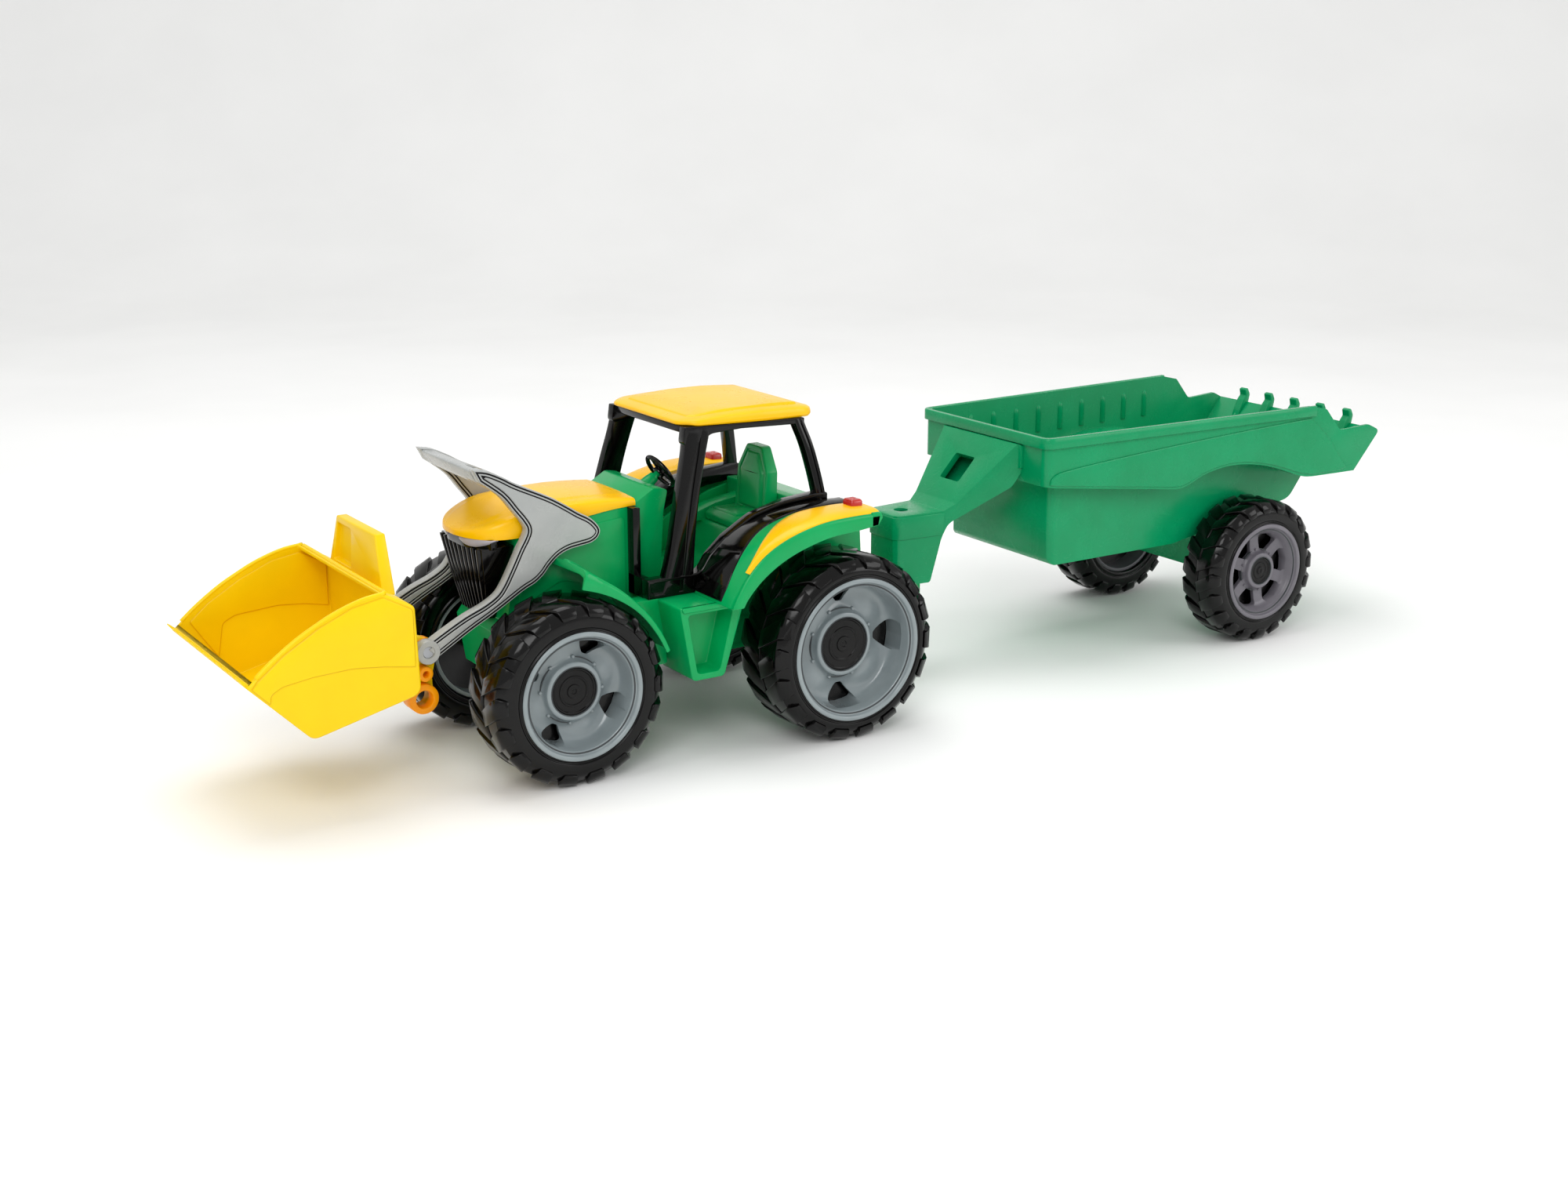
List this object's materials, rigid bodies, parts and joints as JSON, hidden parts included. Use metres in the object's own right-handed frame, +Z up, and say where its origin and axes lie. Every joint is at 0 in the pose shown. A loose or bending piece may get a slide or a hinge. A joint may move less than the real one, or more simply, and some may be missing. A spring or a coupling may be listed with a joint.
{
  "type": "toy tractor",
  "caption": "Large floor-play plastic toy tractor with a tilting front loader bucket, open cab and a two-wheel tipper-shaped trailer coupled on a hitch pin.",
  "frame": {"origin": "middle of the whole set's footprint on the ground, wheels standing on z = 0", "axes": "+X forward towards the bucket, +Y to the tractor's left, +Z up"},
  "size_m": [1.0724, 0.263, 0.256],
  "materials": {
    "green_body": "moulded, semi-gloss",
    "trailer_green": "moulded, semi-gloss",
    "yellow_trim": "moulded, semi-gloss",
    "bucket_yellow": "moulded, semi-gloss",
    "black_body": "moulded, gloss",
    "tyre_black": "hollow moulded, gloss",
    "rim_grey": "silver-grey, satin",
    "trailer_rim_grey": "silver-grey, satin",
    "hubcap_dark": "satin",
    "loader_silver": "silver-grey, satin",
    "headlight_silver": "silver",
    "lamp_red": "gloss",
    "steel": "zinc-plated"
  },
  "bodies": {
    "chassis": {"chassis_frame": "green_body", "footstep_left": "green_body", "footstep_right": "green_body", "hood_body": "green_body", "hood_cap": "yellow_trim", "grille": "black_body", "headlights": "headlight_silver", "cab_floor": "green_body", "cab_frame": "black_body", "cab_roof": "yellow_trim", "seat": "green_body", "dashboard": "green_body", "rear_fender_left": "green_body", "rear_fender_right": "green_body", "fender_trim_left": "yellow_trim", "fender_trim_right": "yellow_trim", "tail_lamps": "lamp_red", "front_axle": "steel", "rear_axle": "steel", "loader_pivot_pins": "loader_silver", "hitch_bracket": "green_body", "hitch_pin": "black_body", "chassis_screws": "steel"},
    "steering": {"steering_wheel": "black_body"},
    "front_left_wheel": {"front_left_tyre": "tyre_black", "front_left_rim": "rim_grey", "front_left_hubcap": "hubcap_dark"},
    "front_right_wheel": {"front_right_tyre": "tyre_black", "front_right_rim": "rim_grey", "front_right_hubcap": "hubcap_dark"},
    "rear_left_wheel": {"rear_left_tyre": "tyre_black", "rear_left_rim": "rim_grey", "rear_left_hubcap": "hubcap_dark"},
    "rear_right_wheel": {"rear_right_tyre": "tyre_black", "rear_right_rim": "rim_grey", "rear_right_hubcap": "hubcap_dark"},
    "loader": {"loader_arm_left": "loader_silver", "loader_arm_right": "loader_silver", "loader_handle": "loader_silver", "bucket_pin": "steel"},
    "bucket": {"bucket": "bucket_yellow"},
    "trailer": {"trailer_tub": "trailer_green", "trailer_drawbar": "trailer_green", "trailer_underframe": "trailer_green", "trailer_axle": "steel", "trailer_screws": "steel"},
    "trailer_left_wheel": {"trailer_left_tyre": "tyre_black", "trailer_left_rim": "trailer_rim_grey", "trailer_left_hubcap": "hubcap_dark"},
    "trailer_right_wheel": {"trailer_right_tyre": "tyre_black", "trailer_right_rim": "trailer_rim_grey", "trailer_right_hubcap": "hubcap_dark"}
  },
  "joints": [
    {"name": "loader_lift", "type": "hinge", "parent": "chassis", "child": "loader", "pos_m": [0.26175, 0, 0.178], "axis": [0, -1, 0], "range_deg": [0, 50]},
    {"name": "bucket_tilt", "type": "hinge", "parent": "loader", "child": "bucket", "pos_m": [0.38875, 0, 0.105], "axis": [0, 1, 0], "range_deg": [-10, 45]},
    {"name": "steering_spin", "type": "hinge", "parent": "chassis", "child": "steering", "pos_m": [0.16775, 0, 0.202], "axis": [-0.829, 0, 0.5592], "continuous": true},
    {"name": "front_left_spin", "type": "hinge", "parent": "chassis", "child": "front_left_wheel", "pos_m": [0.29375, 0.079, 0.0695], "axis": [0, 1, 0], "continuous": true},
    {"name": "front_right_spin", "type": "hinge", "parent": "chassis", "child": "front_right_wheel", "pos_m": [0.29375, -0.079, 0.0695], "axis": [0, 1, 0], "continuous": true},
    {"name": "rear_left_spin", "type": "hinge", "parent": "chassis", "child": "rear_left_wheel", "pos_m": [0.06975, 0.101, 0.0735], "axis": [0, 1, 0], "continuous": true},
    {"name": "rear_right_spin", "type": "hinge", "parent": "chassis", "child": "rear_right_wheel", "pos_m": [0.06975, -0.101, 0.0735], "axis": [0, 1, 0], "continuous": true},
    {"name": "hitch_yaw", "type": "hinge", "parent": "chassis", "child": "trailer", "pos_m": [-0.06525, 0, 0.11], "axis": [0, 0, 1], "range_deg": [-50, 50]},
    {"name": "trailer_left_spin", "type": "hinge", "parent": "trailer", "child": "trailer_left_wheel", "pos_m": [-0.38725, 0.091, 0.0645], "axis": [0, 1, 0], "continuous": true},
    {"name": "trailer_right_spin", "type": "hinge", "parent": "trailer", "child": "trailer_right_wheel", "pos_m": [-0.38725, -0.091, 0.0645], "axis": [0, 1, 0], "continuous": true}
  ]
}
